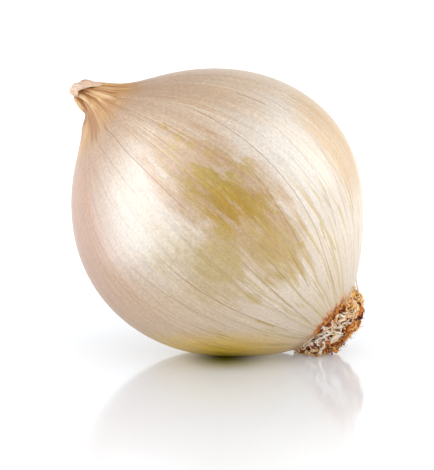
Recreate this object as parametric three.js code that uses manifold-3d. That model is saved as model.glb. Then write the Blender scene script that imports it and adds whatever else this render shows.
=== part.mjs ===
// An onion lying on its side: one grown bulb with its dried, folded neck, and
// the mat of dry roots on its basal plate. Millimetres, +Z up, +X toward the
// roots; the origin is the middle of the flat spot that the bulb rests on.
//
// Each solid is made in the onion's own frame, where +Y runs up the axis from
// the globe's centre to the neck and +X is the side that ends up on top, and
// one group lays the onion down.

import * as THREE from 'three';
import { mergeVertices } from 'three/addons/utils/BufferGeometryUtils.js';
import Module from 'manifold-3d';

const DEGREE = Math.PI / 180;

// The globe, as a distance from its centre at each angle from the neck's end.
const GLOBE_RADIUS = 36;
const SHOULDER_RISE = 4.4;
const SHOULDER_SPREAD = 36 * DEGREE;
const NECK_RISE = 14.1;
const NECK_SPREAD = 5.2 * DEGREE;
const ROOT_RISE = 5.5;
const ROOT_SPREAD = 28 * DEGREE;
const POLE_FLATTENING = 1.6;

// The axis ends: the stub under the folds, and the seat of the root plate.
const STUB_TOP = 45.8;
const ROOT_SEAT = 37.5;
const EDGE_ROUNDING = 0.5;

// The axis bows toward the top side, and the stub leans back from it.
const BOW = 1.1;
const SKEW = -1;
const STUB_START = 42;
const STUB_LEAN = 0.3;

// The skin's relief: pleats that twist up the neck and fade from it, faint
// ribs, and the globe's slight lumps. A wave is its count round the axis, its
// phase and its share of the height.
const PLEAT_HEIGHT = 0.95;
const PLEAT_SPREAD = 9 * DEGREE;
const PLEAT_TWIST = 0.5;
const PLEAT_WAVES = [[9, 0.4, 0.45], [13, 2.1, 0.35], [5, 1, 0.2]];
const RIB_HEIGHT = 0.08;
const RIB_WAVES = [[14, 0.3, 1]];
const LUMP_HEIGHT = 0.18;
const LUMP_WAVES = [[3, 0, 1], [5, Math.PI, 0.6]];
const POLE_FADE = 4 * DEGREE;

// The dried leaf ends that climb the stub. Those on the near and lower side
// roll outward over its top, and the others lie inward across it.
const FOLD_COUNT = 7;
const FOLD_THICKNESS = 0.85;
const FOLD_WIDTH = 3.3;
const FOLD_TWIST = 0.55;
const FOLD_CUPPING = 0.09;
const FOLD_UNEVENNESS = 1.4;
const FOLD_FOOT = [[6.3, 39.4], [4.7, 42.2], [3.1, 44.7], [1.8, 46.4]];
const ROLLED_TIP = [[1.5, 47.2], [2.1, 47.1], [2.6, 45.9]];
const TUCKED_TIP = [[0.9, 47.1], [0.1, 47.2], [-0.7, 46.8]];
const ROLLED_FROM = -130 * DEGREE;
const ROLLED_TO = 50 * DEGREE;

// The root mat: a half ellipsoid on the seat, made of strands over a core.
const MAT_RADIUS = 10.7;
const MAT_HEIGHT = 7.8;
const MAT_SHIFT = 0.2;
const CORE_SHARE = 0.85;
const STRAND_COUNT = 84;
const STRAND_RADIUS = 0.55;
const STRAND_REACH = [0.3, 0.6];
const STRAND_FAN = 3.4;
const STRAND_SINK = 0.07;
const STRAND_LIFT = [0.95, 1.03];
const LOOP_SHARE = 0.5;
const FREE_SPAN = 0.6;
const GOLDEN_ANGLE = Math.PI * (3 - Math.sqrt(5));
const CLEARANCE = 0.32;
const BULB_SEED = 11;
const ROOT_SEED = 23;

// How the onion lies.
const AXIS_SLOPE = 44.5 * DEGREE;
const CENTRE_HEIGHT = 34.6;
const CENTRE_BACK = 5.4;

// How finely the surfaces are divided. Rows crowd toward the two axis ends.
const ROWS = 40;
const SEGMENTS = 72;
const ROW_CROWDING = 0.13;
const CORE_STEPS = 6;
const CORE_SEGMENTS = 18;
const FOLD_STEPS = 9;
const STRAND_SIDES = 4;
const STRAND_STEPS = 3;
const GROUND_SIZE = 200;
const WELD = 1e-3;

const wasm = await Module();
wasm.setup();

// Seeded draw between 0 and 1 (mulberry32).
function makeDraw(seed) {
  let state = seed;
  return () => {
    state = (state + 0x6d2b79f5) | 0;
    let t = Math.imul(state ^ (state >>> 15), 1 | state);
    t = (t + Math.imul(t ^ (t >>> 7), 61 | t)) ^ t;
    return ((t ^ (t >>> 14)) >>> 0) / 4294967296;
  };
}

// Moves every vertex of a geometry to the place that a function gives it.
function reshape(geometry, place) {
  const positions = geometry.attributes.position;
  const vertex = new THREE.Vector3();
  for (let i = 0; i < positions.count; i += 1) {
    vertex.fromBufferAttribute(positions, i);
    const moved = place(vertex);
    positions.setXYZ(i, moved.x, moved.y, moved.z);
  }
  return geometry;
}

// Turns a closed geometry into a solid, leaving out the collapsed triangles
// that a lathe makes where its profile meets the axis.
function toSolid(geometry) {
  const bare = geometry.clone();
  bare.deleteAttribute('normal');
  bare.deleteAttribute('uv');
  const merged = mergeVertices(bare, WELD);
  const index = merged.index.array;
  const triangles = [];
  for (let i = 0; i < index.length; i += 3) {
    const [a, b, c] = [index[i], index[i + 1], index[i + 2]];
    if (a !== b && b !== c && c !== a) {
      triangles.push(a, b, c);
    }
  }
  return new wasm.Manifold(new wasm.Mesh({
    numProp: 3,
    vertProperties: new Float32Array(merged.attributes.position.array),
    triVerts: new Uint32Array(triangles),
  }));
}

function toGeometry(solid) {
  const mesh = solid.getMesh();
  const geometry = new THREE.BufferGeometry();
  geometry.setAttribute('position', new THREE.BufferAttribute(mesh.vertProperties, 3));
  geometry.setIndex(new THREE.BufferAttribute(mesh.triVerts, 1));
  return geometry;
}

// The smaller of two lengths, with the corner between them rounded.
function roundedMin(a, b) {
  const gap = a - b;
  return (a + b - Math.sqrt(gap * gap + EDGE_ROUNDING * EDGE_ROUNDING)) / 2;
}

// Distance of the skin from the globe's centre, at an angle from the neck.
function skinDistance(polar) {
  const shoulder = SHOULDER_RISE * Math.exp(-((polar / SHOULDER_SPREAD) ** 1.6));
  const neck = NECK_RISE * Math.exp(-polar / NECK_SPREAD);
  const root = ROOT_RISE * Math.exp(-(((Math.PI - polar) / ROOT_SPREAD) ** 2));
  const flattening = POLE_FLATTENING * Math.cos(polar) ** 2;
  return GLOBE_RADIUS + shoulder + neck + root - flattening;
}

function waveSum(waves, turn) {
  return waves.reduce((sum, [count, phase, share]) => sum + share * Math.cos(count * turn + phase), 0);
}

// Height of the skin's relief over the plain globe.
function skinRelief(polar, turn) {
  const girth = Math.sin(polar) ** 2;
  const twisted = turn + PLEAT_TWIST * Math.exp(-polar / NECK_SPREAD);
  const relief = PLEAT_HEIGHT * waveSum(PLEAT_WAVES, twisted) * Math.exp(-polar / PLEAT_SPREAD)
    + RIB_HEIGHT * waveSum(RIB_WAVES, turn) * girth
    + LUMP_HEIGHT * waveSum(LUMP_WAVES, turn) * girth;
  return relief * Math.min(1, polar / POLE_FADE);
}

// How far the onion's middle line stands off its axis, toward the top side.
function sideShift(height) {
  const share = THREE.MathUtils.clamp(height / GLOBE_RADIUS, -1, 1);
  const bowed = (BOW + SKEW * share) * (1 - share * share);
  return bowed - STUB_LEAN * Math.max(0, height - STUB_START);
}

// A point of the skin, or of a surface that stands off it by a clearance.
function skinPoint(polar, turn, standOff = 0) {
  const distance = skinDistance(polar) + standOff;
  const radius = distance * Math.sin(polar) + skinRelief(polar, turn);
  const above = roundedMin(distance * Math.cos(polar), STUB_TOP + standOff);
  const height = -roundedMin(-above, ROOT_SEAT + standOff);
  return new THREE.Vector3(
    radius * Math.sin(turn) + sideShift(height),
    height,
    radius * Math.cos(turn),
  );
}

// The closed skin, turned on the lathe as angles and then moved into place.
function skinSolid(standOff = 0) {
  const profile = [];
  for (let row = 0; row <= ROWS; row += 1) {
    const share = 1 - row / ROWS;
    const polar = Math.PI * (share - ROW_CROWDING * Math.sin(2 * Math.PI * share));
    profile.push(new THREE.Vector2(Math.sin(polar), Math.cos(polar)));
  }
  profile[0].x = 0;
  profile[ROWS].x = 0;
  const sphere = new THREE.LatheGeometry(profile, SEGMENTS);
  return toSolid(reshape(sphere, (unit) => {
    const polar = Math.atan2(Math.hypot(unit.x, unit.z), unit.y);
    return skinPoint(polar, Math.atan2(unit.x, unit.z), standOff);
  }));
}

// One dried leaf end: a slab bent along its path up the stub.
function foldSolid(turn, draw) {
  const rolled = turn > ROLLED_FROM && turn < ROLLED_TO;
  const tip = rolled ? ROLLED_TIP : TUCKED_TIP;
  const droop = FOLD_UNEVENNESS * (draw() - 0.5);
  const tipPoints = tip.map(([radius, height], i) => (
    new THREE.Vector3(radius, height - droop * (i / 2), 0)));
  const footPoints = FOLD_FOOT.map(([radius, height]) => new THREE.Vector3(radius, height, 0));
  const path = new THREE.CatmullRomCurve3([...footPoints, ...tipPoints]);
  const width = FOLD_WIDTH * (0.85 + 0.3 * draw());
  const slab = new THREE.BoxGeometry(1, 1, 1, 2, 1, FOLD_STEPS);
  return toSolid(reshape(slab, (corner) => {
    const along = corner.z + 0.5;
    const centre = path.getPoint(along);
    const tangent = path.getTangent(along);
    const across = corner.x * width * (0.5 + 0.5 * along);
    const through = -corner.y * FOLD_THICKNESS;
    const radius = centre.x + through * tangent.y - FOLD_CUPPING * across * across;
    const height = centre.y - through * tangent.x;
    const heading = turn + FOLD_TWIST * along;
    return new THREE.Vector3(
      radius * Math.sin(heading) + across * Math.cos(heading) + sideShift(height),
      height,
      radius * Math.cos(heading) - across * Math.sin(heading),
    );
  }));
}

// A point in or on the half ellipsoid of the root mat.
function matPoint(share, polar, turn) {
  const radius = share * MAT_RADIUS * Math.sin(polar);
  const depth = ROOT_SEAT + share * MAT_HEIGHT * Math.cos(polar);
  return new THREE.Vector3(radius * Math.sin(turn) + MAT_SHIFT, -depth, radius * Math.cos(turn));
}

// The corky boss that the roots grow from.
function coreSolid() {
  const profile = [];
  for (let step = 0; step <= CORE_STEPS; step += 1) {
    const point = matPoint(CORE_SHARE, (step / CORE_STEPS) * (Math.PI / 2), 0);
    profile.push(new THREE.Vector2(point.z, point.y));
  }
  profile.push(new THREE.Vector2(0, -ROOT_SEAT));
  return toSolid(new THREE.LatheGeometry(profile, CORE_SEGMENTS));
}

// One dry root: it leaves the core, arches over its neighbours and either
// sinks back in or ends as a free tip.
function strandSolid(number, draw) {
  const polar = Math.acos(1 - (number + 0.5) / STRAND_COUNT);
  const turn = number * GOLDEN_ANGLE;
  const heading = STRAND_FAN * (draw() - 0.5);
  const reach = THREE.MathUtils.lerp(...STRAND_REACH, draw());
  const span = draw() < LOOP_SHARE ? 1 : FREE_SPAN;
  const start = CORE_SHARE - STRAND_SINK;
  const lift = THREE.MathUtils.lerp(...STRAND_LIFT, draw()) - start;
  const thickness = STRAND_RADIUS * (0.8 + 0.5 * draw());
  const centreline = (along) => matPoint(
    start + lift * Math.sin(Math.PI * span * along),
    polar + reach * Math.cos(heading) * along,
    turn + (reach * Math.sin(heading) * along) / Math.max(0.35, Math.sin(polar)),
  );
  const tube = new THREE.CylinderGeometry(1, 1, 1, STRAND_SIDES, STRAND_STEPS);
  return toSolid(reshape(tube, (vertex) => {
    const along = vertex.y + 0.5;
    const centre = centreline(along);
    const tangent = centreline(along + 0.01).sub(centreline(along - 0.01)).normalize();
    const outward = centre.clone().setY(centre.y + ROOT_SEAT).normalize();
    const sideways = tangent.clone().cross(outward).normalize();
    const upward = sideways.clone().cross(tangent);
    const radius = thickness * (1 - 0.35 * along);
    return centre
      .addScaledVector(sideways, vertex.x * radius)
      .addScaledVector(upward, vertex.z * radius);
  }));
}

// The group that lays the onion down: its +Y runs up to the neck, back along
// -X, and its +X is on top.
const onion = new THREE.Group();
onion.rotation.set(Math.PI / 2, 0, Math.PI / 2 - AXIS_SLOPE);
onion.position.set(-CENTRE_BACK, 0, CENTRE_HEIGHT);
onion.updateMatrix();
const standUp = onion.matrix.clone().invert();

// Everything below the surface that the onion lies on, in the onion's frame.
const ground = new THREE.BoxGeometry(GROUND_SIZE, GROUND_SIZE, GROUND_SIZE);
ground.translate(0, 0, -GROUND_SIZE / 2);
const belowGround = toSolid(ground.applyMatrix4(standUp));

// The outer shell of a solid's largest body, welded as it lies: loose scraps
// are dropped, and small hollows that the joining has sealed are filled.
function outerShell(solid) {
  const shells = toSolid(toGeometry(solid).applyMatrix4(onion.matrix)).decompose();
  const largest = shells.reduce((best, shell) => (shell.volume() > best.volume() ? shell : best));
  return toGeometry(largest).applyMatrix4(standUp);
}

function bulbGeometry() {
  const draw = makeDraw(BULB_SEED);
  let solid = skinSolid();
  for (let number = 0; number < FOLD_COUNT; number += 1) {
    const turn = (number / FOLD_COUNT) * 2 * Math.PI - Math.PI + 0.3 * draw();
    solid = solid.add(foldSolid(turn, draw));
  }
  return outerShell(solid.subtract(belowGround));
}

function rootTuftGeometry() {
  const draw = makeDraw(ROOT_SEED);
  let solid = coreSolid();
  for (let number = 0; number < STRAND_COUNT; number += 1) {
    solid = solid.add(strandSolid(number, draw));
  }
  return outerShell(solid.subtract(skinSolid(CLEARANCE)).subtract(belowGround));
}

function addPiece(name, geometry, look) {
  const piece = new THREE.Mesh(geometry, new THREE.MeshStandardMaterial(look));
  piece.name = name;
  onion.add(piece);
}

addPiece('bulb', bulbGeometry(), { color: 0xe2c9a6, roughness: 0.38, metalness: 0 });
addPiece('root_tuft', rootTuftGeometry(), { color: 0xa98460, roughness: 0.85, metalness: 0 });

export default onion;
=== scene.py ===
"""An onion lying on its side on a white table: satin, papery skin drawn in to a
dried, folded neck, and a mat of dry roots at the other end.

The skin, the neck's folds and the root mat repeat the forms of the CAD nodes
`bulb` and `root_tuft` at a finer scale, in millimetres in the onion's own frame:
+Y runs up the axis from the globe's centre to the neck, and +X ends up on top.
"""
import math

import bpy
import numpy as np
from mathutils import Matrix, Vector


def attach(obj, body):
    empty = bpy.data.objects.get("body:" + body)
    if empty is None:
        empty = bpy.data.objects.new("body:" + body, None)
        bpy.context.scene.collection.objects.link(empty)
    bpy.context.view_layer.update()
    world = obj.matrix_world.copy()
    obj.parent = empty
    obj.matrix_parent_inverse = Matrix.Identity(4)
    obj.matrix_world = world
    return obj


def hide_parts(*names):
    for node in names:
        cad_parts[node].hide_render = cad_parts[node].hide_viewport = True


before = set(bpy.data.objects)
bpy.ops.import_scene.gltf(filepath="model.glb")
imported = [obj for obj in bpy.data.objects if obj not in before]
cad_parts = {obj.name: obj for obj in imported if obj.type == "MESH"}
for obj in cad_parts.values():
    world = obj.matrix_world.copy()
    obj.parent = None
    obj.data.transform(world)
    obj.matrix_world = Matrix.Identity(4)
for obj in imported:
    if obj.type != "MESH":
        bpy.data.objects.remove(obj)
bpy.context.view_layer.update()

MM = 0.001
DEGREE = math.pi / 180

# ---------------------------------------------------------------- dimensions
# The globe, as a distance from its centre at each angle from the neck's end.
GLOBE_RADIUS = 36
SHOULDER_RISE = 4.4
SHOULDER_SPREAD = 36 * DEGREE
NECK_RISE = 14.1
NECK_SPREAD = 5.2 * DEGREE
ROOT_RISE = 5.5
ROOT_SPREAD = 28 * DEGREE
POLE_FLATTENING = 1.6
STUB_TOP = 45.8
ROOT_SEAT = 37.5
GIRTH_RADIUS = 38
EDGE_ROUNDING = 0.5

# The axis bows toward the top side, and the stub leans back from it.
BOW = 1.1
SKEW = -1
STUB_START = 42
STUB_LEAN = 0.3

# Relief of the skin. A wave is its count round the axis, its phase and its
# share of the height; the fine ones are too small for the solids.
PLEAT_HEIGHT = 0.95
PLEAT_SPREAD = 9 * DEGREE
PLEAT_TWIST = 0.5
PLEAT_WAVES = ((9, 0.4, 0.45), (13, 2.1, 0.35), (5, 1, 0.2))
FINE_PLEAT_WAVES = ((22, 0.9, 0.1), (31, 2.6, 0.09), (47, 4.1, 0.05))
RIB_HEIGHT = 0.08
RIB_WAVES = ((14, 0.3, 1),)
FINE_RIB_HEIGHT = 0.022
FINE_RIB_WAVES = ((37, 0.2, 1), (53, 1.4, 0.7), (71, 3.0, 0.5))
LUMP_HEIGHT = 0.18
LUMP_WAVES = ((3, 0, 1), (5, math.pi, 0.6))
POLE_FADE = 4 * DEGREE
CREASE_COUNT = 23
CREASE_DEPTH = (0.15, 0.55)
CREASE_WIDTH = (0.04, 0.09)
CREASE_REACH = (8 * DEGREE, 17 * DEGREE)
CREASE_SEED = 5
# Folds and grooves placed after the photo: turn and polar angle where each
# starts and ends, in degrees, its half width and its height in mm.
NECK_RIDGES = ((-10, 3.5, -14, 7.0, 0.60, 0.50), (20, 5.0, 33, 11.5, 0.75, 0.55),
               (-40, 3.5, -45, 9.5, 0.45, -0.80), (36, 4.0, 46, 11.0, 0.50, -0.45),
               (-66, 3.5, -68, 8.0, 0.60, 0.35), (2, 4.0, 5, 9.0, 0.30, -0.40))
RIDGE_LOPSIDED = 2.6
NOTCH_DEPTH = 1.2
NOTCH_TURN = -85 * DEGREE
NOTCH_TURN_SPREAD = 38 * DEGREE
NOTCH_POLAR = 8.3 * DEGREE
NOTCH_POLAR_SPREAD = 1.5 * DEGREE

# How the onion lies.
AXIS_SLOPE = 44.5 * DEGREE
CENTRE_HEIGHT = 34.6
CENTRE_BACK = 5.4

# Grid of the visible skin. Rows crowd toward the two axis ends.
SKIN_ROWS = 190
SKIN_SEGMENTS = 480
ROW_CROWDING = 0.13
# How far from the axis, in radians, the grid's two end points are taken, and
# what keeps a vector of no length from dividing by zero.
BY_THE_AXIS = 1e-4
TINY = 1e-9


def laid_down():
    """Matrix from the onion's own frame in mm to the shared frame in metres."""
    top = Vector((math.sin(AXIS_SLOPE), 0, math.cos(AXIS_SLOPE)))
    up_the_neck = Vector((-math.cos(AXIS_SLOPE), 0, math.sin(AXIS_SLOPE)))
    near = top.cross(up_the_neck)
    turned = Matrix((top, up_the_neck, near)).transposed().to_4x4()
    placed = Matrix.Translation((-CENTRE_BACK, 0, CENTRE_HEIGHT))
    return Matrix.Scale(MM, 4) @ placed @ turned


LAY = np.array(laid_down())


def draw_from(seed):
    """The same seeded draw between 0 and 1 as the solids use (mulberry32)."""
    state = seed
    while True:
        state = (state + 0x6D2B79F5) & 0xFFFFFFFF
        t = ((state ^ (state >> 15)) * (1 | state)) & 0xFFFFFFFF
        t = ((t + (((t ^ (t >> 7)) * (61 | t)) & 0xFFFFFFFF)) & 0xFFFFFFFF) ^ t
        yield (t ^ (t >> 14)) / 4294967296


def smooth_step(low, high, value):
    t = np.clip((value - low) / (high - low), 0, 1)
    return t * t * (3 - 2 * t)


# ---------------------------------------------------------------- mesh helpers
def place(points):
    """Points in the onion's frame, laid down, and kept off the table."""
    laid = points @ LAY[:3, :3].T + LAY[:3, 3]
    laid[:, 2] = np.maximum(laid[:, 2], 0)
    return laid


def make_piece(name, points, faces, material, node, slot, **marks):
    """A piece of the onion, with the marks that its material reads at each point."""
    mesh = bpy.data.meshes.new(name)
    mesh.from_pydata(place(points).tolist(), [], faces)
    mesh.polygons.foreach_set("use_smooth", [True] * len(mesh.polygons))
    mesh.materials.append(material)
    mesh.update()
    for mark, values in marks.items():
        kind, key = ("FLOAT", "value") if np.ndim(values) == 1 else ("FLOAT_VECTOR", "vector")
        mesh.attributes.new(mark, kind, "POINT").data.foreach_set(key, np.ravel(values))
    piece = bpy.data.objects.new(name, mesh)
    bpy.context.scene.collection.objects.link(piece)
    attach(piece, "root")
    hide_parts(node)
    return piece


def join_sheets(name, mark, sheets, shape, material):
    """One piece from thin sheets of skin, each given as points and their marks,
    and all with the same faces."""
    points, marks = zip(*sheets)
    faces = []
    for number, sheet in enumerate(points):
        first = number * len(sheet)
        faces += [tuple(first + corner for corner in face) for face in shape]
    values = {mark: np.concatenate(marks)}
    make_piece(name, np.concatenate(points), faces, material, "bulb", "skin", **values)


def quads(rows, columns, first=0, closed=True, turned=False):
    """Quads between the rows of a grid of points. A closed grid joins its last
    column to its first, and a turned one faces the other way."""
    faces = []
    for row in range(rows - 1):
        upper = first + row * columns
        lower = upper + columns
        for column in range(columns if closed else columns - 1):
            after = (column + 1) % columns
            if turned:
                faces.append((upper + column, upper + after, lower + after, lower + column))
            else:
                faces.append((upper + column, lower + column, lower + after, upper + after))
    return faces


def tube_faces(rings, sides, first):
    """Quads of a tube of rings, closed by an n-gon at each end."""
    last = first + (rings - 1) * sides
    faces = quads(rings, sides, first)
    faces.append(tuple(range(first, first + sides)))
    faces.append(tuple(range(last + sides - 1, last - 1, -1)))
    return faces


def sheet_faces(rows, columns):
    """Quads of a thin sheet: its front, its back and its rim."""
    back = rows * columns
    last = back - columns
    faces = quads(rows, columns, closed=False) + quads(rows, columns, back, closed=False, turned=True)
    rim = [*range(columns), *range(2 * columns - 1, back, columns),
           *range(back - 2, last - 1, -1), *range(last - columns, 0, -columns)]
    for here, after in zip(rim, rim[1:] + rim[:1]):
        faces.append((here, after, back + after, back + here))
    return faces


def unit(vectors):
    return vectors / (np.linalg.norm(vectors, axis=-1, keepdims=True) + TINY)


def lerp(ends, share):
    return ends[0] + (ends[1] - ends[0]) * share


# ---------------------------------------------------------------- skin shape
def rounded_min(a, b):
    return (a + b - np.sqrt((a - b) ** 2 + EDGE_ROUNDING ** 2)) / 2


def wave_sum(waves, turn):
    return sum(share * np.cos(count * turn + phase) for count, phase, share in waves)


def skin_distance(polar):
    shoulder = SHOULDER_RISE * np.exp(-(polar / SHOULDER_SPREAD) ** 1.6)
    neck = NECK_RISE * np.exp(-polar / NECK_SPREAD)
    root = ROOT_RISE * np.exp(-((math.pi - polar) / ROOT_SPREAD) ** 2)
    return GLOBE_RADIUS + shoulder + neck + root - POLE_FLATTENING * np.cos(polar) ** 2


def skin_relief(polar, turn):
    girth = np.sin(polar) ** 2
    twisted = turn + PLEAT_TWIST * np.exp(-polar / NECK_SPREAD)
    pleats = wave_sum(PLEAT_WAVES, twisted) * np.exp(-polar / PLEAT_SPREAD)
    fine_pleats = wave_sum(FINE_PLEAT_WAVES, twisted) * np.exp(-polar / (1.6 * PLEAT_SPREAD))
    wander = turn + 0.05 * np.sin(3 * polar + 2 * np.sin(turn))
    relief = (PLEAT_HEIGHT * (pleats + fine_pleats)
              + RIB_HEIGHT * wave_sum(RIB_WAVES, turn) * girth
              + FINE_RIB_HEIGHT * wave_sum(FINE_RIB_WAVES, wander) * girth
              + LUMP_HEIGHT * wave_sum(LUMP_WAVES, turn) * girth)
    return relief * np.minimum(1, polar / POLE_FADE)


def neck_creases():
    """Creases where the skin is drawn in to the neck: turn, depth, half width
    and reach down the shoulder, in mm and radians."""
    random = np.random.default_rng(CREASE_SEED)
    turns = (np.arange(CREASE_COUNT) + random.uniform(-0.3, 0.3, CREASE_COUNT)) * 2 * math.pi / CREASE_COUNT
    return np.stack([
        turns - math.pi, random.uniform(*CREASE_DEPTH, CREASE_COUNT),
        random.uniform(*CREASE_WIDTH, CREASE_COUNT), random.uniform(*CREASE_REACH, CREASE_COUNT)], axis=-1)


def turn_apart(turn, other):
    return (turn - other + math.pi) % (2 * math.pi) - math.pi


def crease_depth(polar, turn):
    """How far the neck's creases and the notch under its lobe go in, in mm."""
    twisted = turn + PLEAT_TWIST * np.exp(-polar / NECK_SPREAD)
    depth = 0
    for at, deep, width, reach in neck_creases():
        across = np.exp(-(turn_apart(twisted, at) / width) ** 2)
        depth = depth + deep * across * np.exp(-(polar / reach) ** 3) * smooth_step(0, 3 * DEGREE, polar)
    notch = NOTCH_DEPTH * np.exp(-(turn_apart(turn, NOTCH_TURN) / NOTCH_TURN_SPREAD) ** 4)
    notch = notch * np.exp(-((polar - NOTCH_POLAR) / NOTCH_POLAR_SPREAD) ** 2)
    return depth + notch - ridge_height(polar, turn)


def ridge_height(polar, turn):
    """Height of the placed folds over the skin, in mm, with one side of each steep."""
    rise = 0
    girth = skin_distance(polar) * np.sin(polar)
    for first_turn, first, last_turn, last, half_width, height in NECK_RIDGES:
        share = (polar / DEGREE - first) / (last - first)
        middle = (first_turn + (last_turn - first_turn) * share) * DEGREE
        across = turn_apart(turn, middle) * girth / half_width
        across = np.where(across > 0, across * RIDGE_LOPSIDED, across)
        fade = smooth_step(-0.2, 0.2, share) * (1 - smooth_step(0.5, 1.2, share))
        rise = rise + height * np.exp(-across ** 2) * fade
    return rise


def side_shift(height):
    share = np.clip(height / GLOBE_RADIUS, -1, 1)
    return (BOW + SKEW * share) * (1 - share ** 2) - STUB_LEAN * np.maximum(0, height - STUB_START)


def skin_points(polar, turn, stand_off=0):
    distance = skin_distance(polar) + stand_off
    radius = distance * np.sin(polar) + skin_relief(polar, turn) - crease_depth(polar, turn)
    above = rounded_min(distance * np.cos(polar), STUB_TOP + stand_off)
    height = -rounded_min(-above, ROOT_SEAT + stand_off)
    return np.stack([radius * np.sin(turn) + side_shift(height), height, radius * np.cos(turn)], axis=-1)


def row_angle(share):
    return math.pi * (share - ROW_CROWDING * np.sin(2 * math.pi * share))


def bearings(polar, turn):
    """Directions from the globe's centre: to the top side, up the neck and to the viewer."""
    return np.stack([np.sin(polar) * np.sin(turn), np.cos(polar), np.sin(polar) * np.cos(turn)], axis=-1)


def build_skin(material):
    """The skin as a grid of rows from neck to root, with a point at each end."""
    shares = np.arange(1, SKIN_ROWS) / SKIN_ROWS
    turns = np.arange(SKIN_SEGMENTS) * 2 * math.pi / SKIN_SEGMENTS
    polar, turn = np.meshgrid(row_angle(shares), turns, indexing="ij")
    grid = skin_points(polar, turn).reshape(-1, 3)
    ends = skin_points(np.array([BY_THE_AXIS, math.pi - BY_THE_AXIS]), np.zeros(2))
    ends[:, 0] = side_shift(ends[:, 1])
    ends[:, 2] = 0
    neck_end, root_end = len(grid), len(grid) + 1
    last_row = len(grid) - SKIN_SEGMENTS

    faces = quads(SKIN_ROWS - 1, SKIN_SEGMENTS)
    edges = np.arange(SKIN_SEGMENTS + 1) / SKIN_SEGMENTS
    corners = []
    for v0, v1 in zip(shares, shares[1:]):
        for u0, u1 in zip(edges, edges[1:]):
            corners += [(u0, v0), (u0, v1), (u1, v1), (u1, v0)]
    for column, (u0, u1) in enumerate(zip(edges, edges[1:])):
        after = (column + 1) % SKIN_SEGMENTS
        faces += [(neck_end, column, after), (root_end, last_row + after, last_row + column)]
        corners += [((u0 + u1) / 2, 0), (u0, shares[0]), (u1, shares[0]),
                    ((u0 + u1) / 2, 1), (u1, shares[-1]), (u0, shares[-1])]

    polars = np.append(polar, [0, math.pi])
    turns = np.append(turn, [0, 0])
    piece = make_piece(
        "skin", np.concatenate([grid, ends]), faces, material, "bulb", "skin",
        ring=np.stack([np.sin(turns), np.cos(turns), polars / math.pi], axis=-1),
        crease=np.append(crease_depth(polar, turn), [0, 0]), bearing=bearings(polars, turns))
    bake_map = piece.data.uv_layers.new(name="OFBake")
    bake_map.data.foreach_set("uv", np.ravel(corners))


# ---------------------------------------------------------------- neck folds
# The dried leaf ends are sleeves round the stub. Each climbs from the foot to
# its tip, which rolls outward on the near and lower side and tucks in on the
# others, and is creased where two leaf ends meet.
FOLD_FOOT = ((2.5, 42.6), (2.9, 44.2), (2.9, 45.6))
HAT_TIP = ((2.5, 46.9), (2.3, 47.8), (2.6, 48.2), (3.2, 47.6), (3.6, 46.2), (3.7, 44.8))
TUCKED_TIP = ((2.3, 46.3), (1.8, 46.9), (1.3, 47.0), (0.9, 46.6), (0.5, 46.0), (0.4, 45.2))
# How far the tip rolls outward, by turn in degrees.
ROLL_BY_TURN = ((-180, 0), (-125, 0.05), (-90, 0.18), (-50, 0.80), (-30, 1), (50, 1), (80, 0.20),
                (115, 0), (180, 0))
# How much lower the tip is toward the top side and toward the lower side.
TIP_SLANTS = (0.62, 0.34)
TIP_SHIFT = 0.30
FOLD_COUNT = 7
FOLD_TWIST = 0.25
SLEEVE_STEPS = 50
SLEEVE_SEGMENTS = 216
# Each sleeve: its share of the radius, how far along the path it reaches, the
# depth of its creases, its thickness and its seed.
SLEEVES = ((1.00, 1.00, 0.45, 0.24, 3),
           (0.78, 0.72, 0.40, 0.22, 14),
           (0.52, 0.80, 0.35, 0.22, 27))
# How ragged a sleeve's tip is, how its pleats and folds wander (counts round
# it and how fast they weaken), and its crumples: height in mm, waves round and
# along it, share of the seed in the phase, and where they start and are full.
SLEEVE_RAGGED = 0.09
RAGGED_WAVES = ((2, 3, 5, 9, 16), 0.62)
FOLD_WAVES = ((2, 3, 5), 0.7)
SLEEVE_PLEAT = 0.55
SLEEVE_PLEAT_WAVES = ((11, 16, 23, 34), 0.8)
CRUMPLES = ((0.16, 5, 14, 1, 0.3, 0.8), (0.10, 13, -19, 2, 0.2, 0.7))
# An inner sleeve splays at its foot and sits lower. Its tip is thinner.
SLEEVE_SPLAY = 0.25
SLEEVE_DROP = 0.6
SLEEVE_RIM = 0.3
SLEEVE_TAPER = 0.05
NARROWEST_SLEEVE = 0.05
# The inside of a sleeve is coloured as if it lay this much deeper, which darkens it as painted shade.
INSIDE_DEEPER = 0.25


def smooth_curve(points, along):
    """Points on a centripetal Catmull-Rom curve, as the solids' folds follow."""
    points = np.asarray(points, float)
    points = np.vstack([2 * points[0] - points[1], points, 2 * points[-1] - points[-2]])
    place_on = np.clip(np.asarray(along, float), 0, 1) * (len(points) - 3)
    first = np.minimum(place_on.astype(int), len(points) - 4)
    t = (place_on - first)[:, None]
    p0, p1, p2, p3 = (points[first + i] for i in range(4))
    gap = [np.sqrt(np.linalg.norm(b - a, axis=1))[:, None] for a, b in ((p0, p1), (p1, p2), (p2, p3))]
    leave = (p1 - p0) / gap[0] - (p2 - p0) / (gap[0] + gap[1]) + (p2 - p1) / gap[1]
    arrive = (p2 - p1) / gap[1] - (p3 - p1) / (gap[1] + gap[2]) + (p3 - p2) / gap[2]
    leave, arrive = leave * gap[1], arrive * gap[1]
    return (p1 + leave * t + (3 * (p2 - p1) - 2 * leave - arrive) * t ** 2
            + (2 * (p1 - p2) + leave + arrive) * t ** 3)


def loop_noise(random, turn, counts, fall):
    """A random wave round the axis, of the given counts."""
    total, scale = 0, 0
    for index, count in enumerate(counts):
        strength = fall ** index
        total = total + strength * np.cos(count * turn + random.uniform(0, 2 * math.pi))
        scale += strength
    return total / scale


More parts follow.
